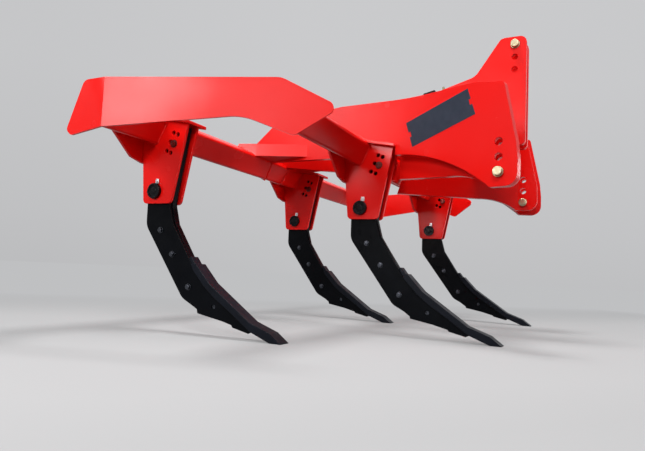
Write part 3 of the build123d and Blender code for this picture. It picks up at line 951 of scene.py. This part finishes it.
# Share of the seen floor that is its own tone, whatever light falls on it
OWN_TONE = 0.3
# Darker colour that the floor has for the light that it throws back
UNSEEN_FLOOR = (0.12, 0.12, 0.122, 1.0)
# The floor turns into the wall along its run, and all round at a distance in metres
FADE_TONES = ((0.44, 0.0), (0.72, 1.0))
FADE_START = 2.4
FADE_END = 3.8
FADED_FLOOR = (0.522, 0.527, 0.537, 1.0)

# Share of a grey's cast that its green takes, and a mix node's colour sockets
GREEN_CAST = 0.2
MIX_FIRST = 6
MIX_SECOND = 7
MIX_RESULT = 2


class Studio(Nodes):
    """Node tree of the wall's world or of the floor."""

    def __init__(self, owner):
        super().__init__(owner)
        self.tree.nodes.clear()
        self.place = self.new("TexCoord").outputs
        self.rays = self.new("LightPath").outputs

    def maths(self, operation, first, second):
        """Product or larger of two values, each a socket or a number."""
        node = self.new("Math")
        node.operation = operation
        self.feed(node.inputs[0], first)
        self.feed(node.inputs[1], second)
        return node.outputs[0]

    def along(self, vector, direction):
        """How far a vector reaches along a direction."""
        node = self.new("VectorMath")
        node.operation = "DOT_PRODUCT"
        self.feed(node.inputs[0], vector)
        self.feed(node.inputs[1], tuple(direction))
        return node.outputs["Value"]

    def distance(self, vector):
        """Length of a vector."""
        node = self.new("VectorMath")
        node.operation = "LENGTH"
        self.feed(node.inputs[0], vector)
        return node.outputs["Value"]

    def share(self, value, low, high):
        """Share of the way of a value from low to high."""
        node = self.new("MapRange")
        self.feed(node.inputs["Value"], value)
        self.feed(node.inputs["From Min"], low)
        self.feed(node.inputs["From Max"], high)
        return node.outputs["Result"]

    def greys(self, value, tones, cast=1.0):
        """Ramp of greys over a value, a little bluer by the cast."""
        tint = (1, 1 + GREEN_CAST * (cast - 1), cast)
        stops = [(place, tuple(level * part for part in tint)) for place, level in tones]
        return self.ramp(value, stops)

    def blend(self, share, first, second, mode="MIX"):
        """Colours blended by a share."""
        node = self.new("Mix")
        node.data_type = "RGBA"
        node.blend_type = mode
        self.feed(node.inputs["Factor"], share)
        self.feed(node.inputs[MIX_FIRST], first)
        self.feed(node.inputs[MIX_SECOND], second)
        return node.outputs[MIX_RESULT]

    def seen(self):
        """One for camera, glossy and transmitted rays."""
        glossy = self.rays["Is Glossy Ray"]
        mirrored = self.maths("MAXIMUM", glossy, self.rays["Is Transmission Ray"])
        return self.maths("MAXIMUM", self.rays["Is Camera Ray"], mirrored)

    def glow(self, colour):
        """Emission of a colour."""
        node = self.new("Emission")
        self.feed(node.inputs["Color"], colour)
        return node.outputs["Emission"]

    def mixed(self, share, under, over):
        """Two shaders mixed by a share."""
        node = self.new("MixShader")
        self.feed(node.inputs["Fac"], share)
        self.feed(node.inputs[1], under)
        self.feed(node.inputs[2], over)
        return node.outputs["Shader"]


def studio_world():
    """Grey wall for what is seen, also in mirrors, and a soft sky for the light."""
    world = bpy.data.worlds.new("studio")
    bpy.context.scene.world = world
    studio = Studio(world)
    way = studio.place["Generated"]
    height = studio.share(studio.along(way, (0, 0, 1)), -1.0, 1.0)
    sky = studio.greys(height, SKY_TONES, SKY_CAST)
    wall = studio.greys(height, WALL_TONES, WALL_CAST)
    across = studio.share(studio.along(way, LEVEL_RIGHT), -WALL_WIDTH, WALL_WIDTH)
    wall = studio.blend(1.0, wall, studio.greys(across, ACROSS_TONES), "MULTIPLY")
    background = studio.new("Background")
    studio.feed(background.inputs["Color"], studio.blend(studio.seen(), sky, wall))
    out = studio.new("OutputWorld")
    studio.feed(out.inputs["Surface"], background.outputs["Background"])


def floor_finish():
    """Pale floor, lit but partly of its own tone, that runs into the wall's grey."""
    material = bpy.data.materials.new("studio_floor")
    studio = Studio(material)
    place = studio.place["Object"]
    seen = studio.seen()
    run = studio.share(studio.along(place, FLOOR_RUN), FLOOR_NEAR, FLOOR_FAR)
    tone = studio.greys(run, FLOOR_TONES, FLOOR_CAST)
    pale = studio.blend(1.0, tone, (FLOOR_GAIN, FLOOR_GAIN, FLOOR_GAIN, 1.0), "MULTIPLY")
    lit = studio.new("BsdfDiffuse")
    studio.feed(lit.inputs["Color"], studio.blend(seen, UNSEEN_FLOOR, pale))
    own_share = studio.maths("MULTIPLY", seen, OWN_TONE)
    surface = studio.mixed(own_share, lit.outputs["BSDF"], studio.glow(tone))
    away = studio.share(studio.distance(place), FADE_START, FADE_END)
    fade = studio.maths("MAXIMUM", studio.greys(run, FADE_TONES), away)
    fade_share = studio.maths("MULTIPLY", seen, fade)
    surface = studio.mixed(fade_share, surface, studio.glow(FADED_FLOOR))
    out = studio.new("OutputMaterial")
    studio.feed(out.inputs["Surface"], surface)
    return material


def set_floor():
    """Wide floor under the points."""
    bpy.ops.object.select_all(action="DESELECT")
    bpy.ops.mesh.primitive_plane_add(size=FLOOR_SIZE)
    floor = bpy.context.object
    floor.name = "floor"
    floor.data.materials.append(floor_finish())


# Soft boxes: name, place, aim, width, height and power in watts
SOFT_BOXES = (
    ("key_box", (1.35, -3.8, 3.1), (0.0, -0.6, 0.7), 1.0, 0.8, 68),
    ("top_box", (0.0, -0.4, 3.5), (0.0, 0.0, 0.6), 0.7, 0.7, 92),
    ("front_box", (3.6, 1.25, 0.15), (-0.3, 0.0, 0.75), 1.4, 1.0, 74),
    ("panel_sheen", (-0.96, -4.3, 1.72), (-0.3, -1.15, 0.7), 0.9, 1.0, 60),
    ("mast_sheen", (0.35, -4.3, 1.62), (0.1, -1.1, 0.7), 1.1, 0.9, 12),
    ("headstock_sheen", (-3.95, -2.45, 2.35), (0.1, -0.3, 0.85), 1.1, 1.0, 19),
    ("rim_box", (2.7, 2.5, 0.9), (0.0, 0.0, 0.55), 0.8, 1.3, 30),
)


def soft_box(name, place, aim, width, height, power):
    """Rectangular lamp aimed at a point."""
    lamp = bpy.data.lights.new(name, "AREA")
    lamp.shape = "RECTANGLE"
    lamp.size = width
    lamp.size_y = height
    lamp.energy = power
    box = bpy.data.objects.new(name, lamp)
    box.location = place
    box.rotation_euler = (Vector(aim) - Vector(place)).to_track_quat("-Z", "Y").to_euler()
    bpy.context.scene.collection.objects.link(box)


studio_world()
set_floor()
for box in SOFT_BOXES:
    soft_box(*box)

bpy.context.scene.view_settings.view_transform = "Standard"
